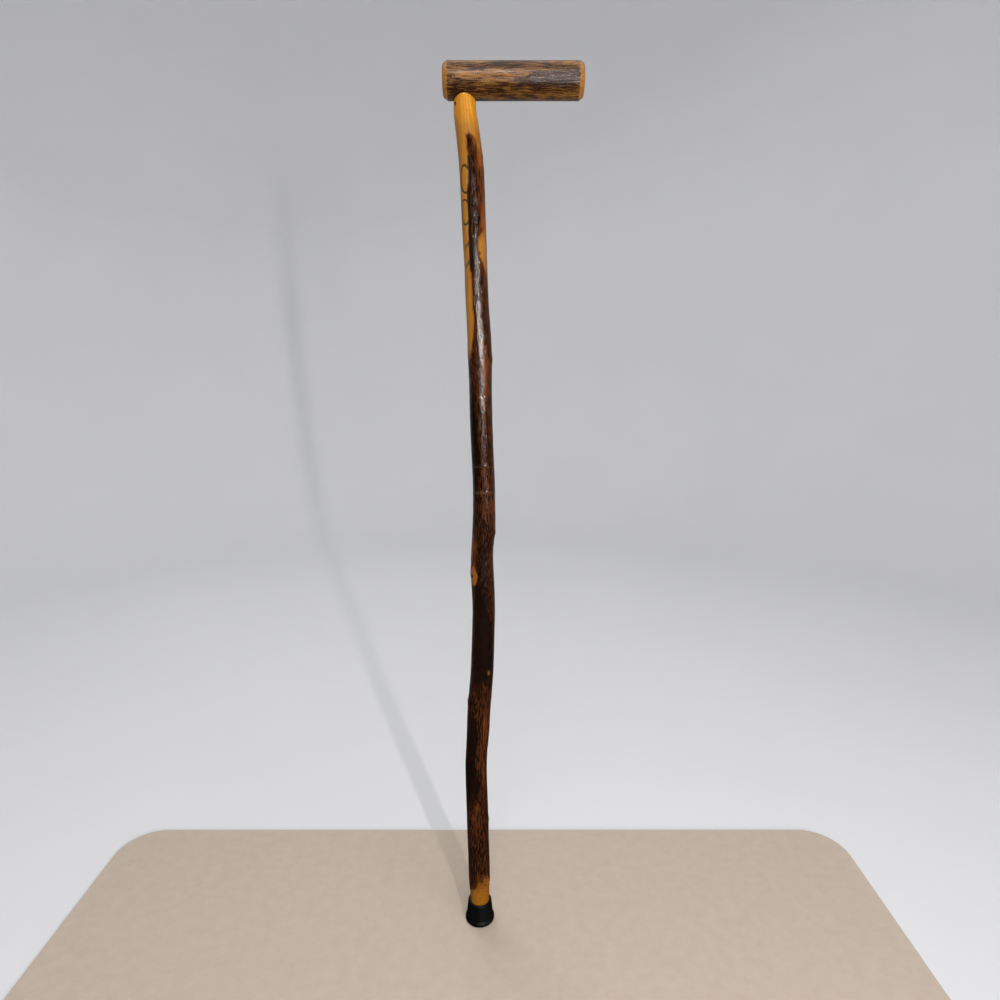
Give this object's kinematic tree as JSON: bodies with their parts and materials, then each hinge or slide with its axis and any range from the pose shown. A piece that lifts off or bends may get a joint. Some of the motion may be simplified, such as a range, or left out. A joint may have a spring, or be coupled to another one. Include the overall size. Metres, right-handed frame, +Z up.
{
  "type": "single point walking cane",
  "caption": "Natural bark-on wooden cane with an off-centre log T grip, doweled neck joint and a push-on black rubber ferrule.",
  "frame": {"origin": "centre of the ferrule's bottom face, where the cane meets the ground", "axes": "+Z up the cane to the grip, +X towards the grip's long end, -Y the front"},
  "size_m": [0.129, 0.0336, 0.914],
  "materials": {
    "shaft_wood": "varnished bark with peeled golden wood",
    "grip_wood": "varnished sanded bark",
    "dowel_wood": "plain birch",
    "brad_steel": "dull wire",
    "ferrule_rubber": "matte moulded rubber",
    "washer_steel": "zinc plated"
  },
  "bodies": {
    "tip": {"ferrule": "ferrule_rubber", "ferrule_washer": "washer_steel"},
    "cane": {"shaft": "shaft_wood", "handle": "grip_wood", "joint_dowel": "dowel_wood", "lock_brads": "brad_steel"}
  },
  "joints": [
    {"name": "ferrule_pull_off", "type": "slide", "parent": "tip", "child": "cane", "axis": [0, 0, 1], "range_m": [0, 0.03]}
  ]
}
